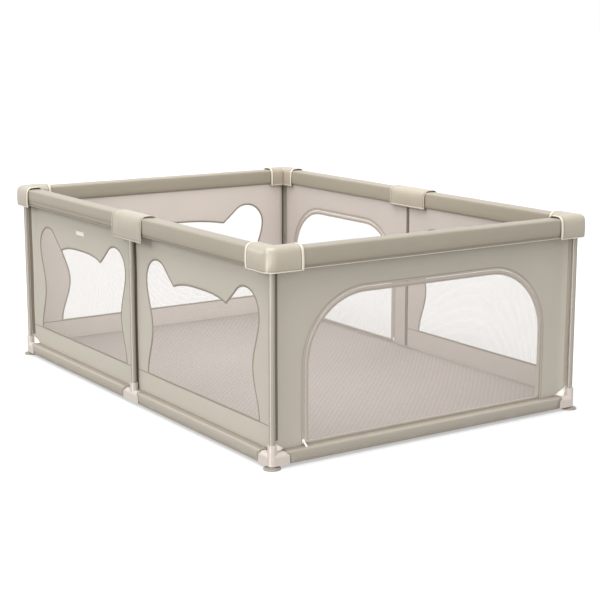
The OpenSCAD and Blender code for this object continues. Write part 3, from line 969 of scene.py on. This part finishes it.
def make_cap(name, replaced, points, place, light):
    """A padded cap with piping, dark lines and hems; light is the finish of its piping. The dark
    lines inside the pipings and above the bottom hem are painted shade.
    """
    P, N = points
    v, f, uv = grid(P)
    cap = piece(name, v, f, M["cap"], place, uv)
    held = np.zeros(P.shape[:2])
    held[:7] = held[-7:] = 1
    held[:, :2] = held[:, -6:] = 1
    print("swell", name, round(1000 * swell(cap, held.ravel(), SWELL_LIMIT), 2), "mm")
    solid(cap, 0.0026)
    ends = (("a", slice(0, 4), slice(4, 6)), ("b", slice(-4, None), slice(-6, -4)))
    for tag, rows, line in ends:
        strip_piece(f"{name}_piping_{tag}", P[rows], N[rows], 0.0012, M[light], place)
        # a dark line just inside each piping is painted shade
        strip_piece(f"{name}_shade_line_{tag}", P[line], N[line], 0.0008, M["seam"], place, 0.0012)
    strip_piece(f"{name}_hem_out", P[:, -2:], N[:, -2:], 0.0010, M[light], place)
    # a darker line above the bottom piping is painted shade of a groove
    strip_piece(f"{name}_hem_groove_shade", P[:, -5:-3], N[:, -5:-3], 0.0008, M["hem"], place, 0.0012)
    strip_piece(f"{name}_hem_in", P[:, :2], N[:, :2], 0.0010, M["cap_hem"], place)
    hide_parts(replaced)


for n, name in enumerate(["front_right", "back_right", "back_left", "front_left"]):
    z0, z1 = CORNER_Z
    points = cap_grid(corner_path(), corner_depth, z0, z1, z0, 3.7 * n)
    make_cap(name + "_corner", name + "_cap", points, corner(n), "piping")

saddle_end = [0.0966, 0.098, 0.0995, 0.101, 0.1025, SADDLE_HALF]
saddle_x = [-x for x in reversed(saddle_end)] + list(np.linspace(-0.091, 0.091, 25)) + saddle_end
saddle_path = [((x, -CAP_W), (x, CAP_W)) for x in saddle_x]
for n, name in ((0, "front"), (2, "back")):
    points = cap_grid(saddle_path, saddle_depth, *SADDLE_Z, SADDLE_INNER_Z, 11.0 + n)
    place = side(n) @ Matrix.Translation((SADDLE_SHIFT[n], 0, 0))
    make_cap(name + "_saddle", name + "_mid_cap", points, place, "cap_hem")


# ---------- floor sheet and label ----------

LABEL_X, LABEL_Z, LABEL_W, LABEL_H = -0.427, 0.530, 0.062, 0.017


def floor_height(x, y):
    """The floor sheet lies on the ground and climbs to the wall seams near its edges."""
    d = min(HALF_X - FLOOR_IN - abs(x), HALF_Y - FLOOR_IN - abs(y))
    rise = max(0.0, 1 - d / 0.230)
    fold = noise.noise(Vector((x * 2.3, y * 2.9, 0.3)))
    fold += 0.4 * noise.noise(Vector((x * 6.5, y * 5.5, 9.3)))
    return 0.0035 + (FLOOR_Z - 0.004) * rise**2.2 + 0.0028 * fold * smoothstep(0.0, 0.12, d)


gx = np.linspace(-(HALF_X - FLOOR_IN), HALF_X - FLOOR_IN, 130)
gy = np.linspace(-(HALF_Y - FLOOR_IN), HALF_Y - FLOOR_IN, 90)
v, f, uv = grid([[(x, y, floor_height(x, y)) for y in gy] for x in gx])
sheet = solid(piece("floor_cloth", v, f, M["floor"], uvs=uv), WALL_THICK)
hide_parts("floor_sheet")

rows = []
for i in range(13):
    x = LABEL_X + LABEL_W * (i / 12 - 0.5)
    y = wall_y(0, x, LABEL_Z) - 0.0018 - 0.0002 * math.sin(i)
    rows.append([(x, y, LABEL_Z + LABEL_H * (j / 5 - 0.5)) for j in range(6)])
v, f, uv = grid(rows)
label = solid(piece("plain_label", v, f, M["label"], side(0), uv), 0.0006)


# ---------- carried-over CAD parts ----------

FINISH = {
    "_post": "tube",
    "_tubes": "tube",
    "_joints": "moulding",
    "_base": "moulding",
    "_cup": "cup",
    "_slider": "zip",
    "_pull": "zip",
}
for name, obj in nodes.items():
    for end, mat in FINISH.items():
        if name.endswith(end):
            obj.data.materials.clear()
            obj.data.materials.append(M[mat])


# ---------- studio ground, light and camera ----------

GROUND_HALF, GROUND_Z = 60, -0.0008

ground = bpy.data.materials.new("studio_floor")
ground.use_nodes = True
for socket, value in (
    ("Base Color", (0.42, 0.42, 0.42, 1)),
    ("Emission Color", (1, 1, 1, 1)),
    ("Emission Strength", 0.42),
    ("Roughness", 0.9),
    ("Specular IOR Level", 0.1),
):
    ground.node_tree.nodes["Principled BSDF"].inputs[socket].default_value = value
ground_corners = ((-1, -1), (1, -1), (1, 1), (-1, 1))
plane = piece(
    "studio_floor",
    [(GROUND_HALF * sx, GROUND_HALF * sy, GROUND_Z) for sx, sy in ground_corners],
    [(0, 1, 2, 3)],
    ground,
    body=None,
    smooth=False,
)
plane.visible_diffuse = False
plane.visible_glossy = False
plane.visible_shadow = False

# The sky dims below the horizon, and the camera sees it plain white
world = bpy.data.worlds.new("studio")
scene.world = world
world.use_nodes = True
sky = world.node_tree
background = sky.nodes["Background"]
background.inputs["Color"].default_value = (1, 1, 1, 1)
up = sky.nodes.new("ShaderNodeSeparateXYZ")
sky.links.new(sky.nodes.new("ShaderNodeTexCoord").outputs["Generated"], up.inputs[0])
glow = node(sky, "ShaderNodeMapRange", From_Min=-0.35, From_Max=-0.04, To_Min=0.5, To_Max=0.92)
sky.links.new(up.outputs["Z"], glow.inputs["Value"])
seen = sky.nodes.new("ShaderNodeLightPath").outputs["Is Camera Ray"]
strength = math_node(sky, "MAXIMUM", glow.outputs["Result"], seen)
sky.links.new(strength, background.inputs["Strength"])


def sun(name, strength, angle, aim, gloss_only=False):
    data = bpy.data.lights.new(name, "SUN")
    data.energy = strength
    data.angle = math.radians(angle)
    obj = bpy.data.objects.new(name, data)
    obj.rotation_euler = Vector(aim).to_track_quat("-Z", "Y").to_euler()
    obj.visible_diffuse = not gloss_only
    scene.collection.objects.link(obj)


def light_panel(name, power, size, spot, target):
    data = bpy.data.lights.new(name, "AREA")
    data.energy = power
    data.size = size
    obj = bpy.data.objects.new(name, data)
    obj.location = spot
    obj.rotation_euler = (Vector(target) - Vector(spot)).to_track_quat("-Z", "Y").to_euler()
    obj.visible_camera = False
    scene.collection.objects.link(obj)


sun("top_light", 2.8, 70, (0.05, 0.15, -1))
sun("key_light", 1.1, 26, (-0.18, 0.89, -0.40))
sun("right_light", 0.74, 60, (-1.0, 0.1, -0.15))
sun("gloss_light", 1.1, 28, (-0.20, 0.96, 0.20), gloss_only=True)
light_panel("left_panel", 6.0, 1.0, (-1.1, -2.2, 1.2), (-0.5, -0.6, 0.4))
light_panel("inner_panel", 5.5, 0.8, (0.1, 0.0, 1.4), (-0.87, 0.0, 0.25))
light_panel("front_panel", 7.6, 0.8, (2.1, -1.9, 0.5), (0.87, -0.55, 0.42))

cam = bpy.data.cameras.new("camera")
cam.sensor_width = 36
cam.lens = 86.975
cam.clip_end = 200
eye = bpy.data.objects.new("camera", cam)
eye.location = (4.3122, -2.7877, 1.3255)
eye.rotation_euler = (math.radians(90 - 11.363), 0, math.radians(56.313))
scene.collection.objects.link(eye)
scene.camera = eye
scene.view_settings.view_transform = "Standard"
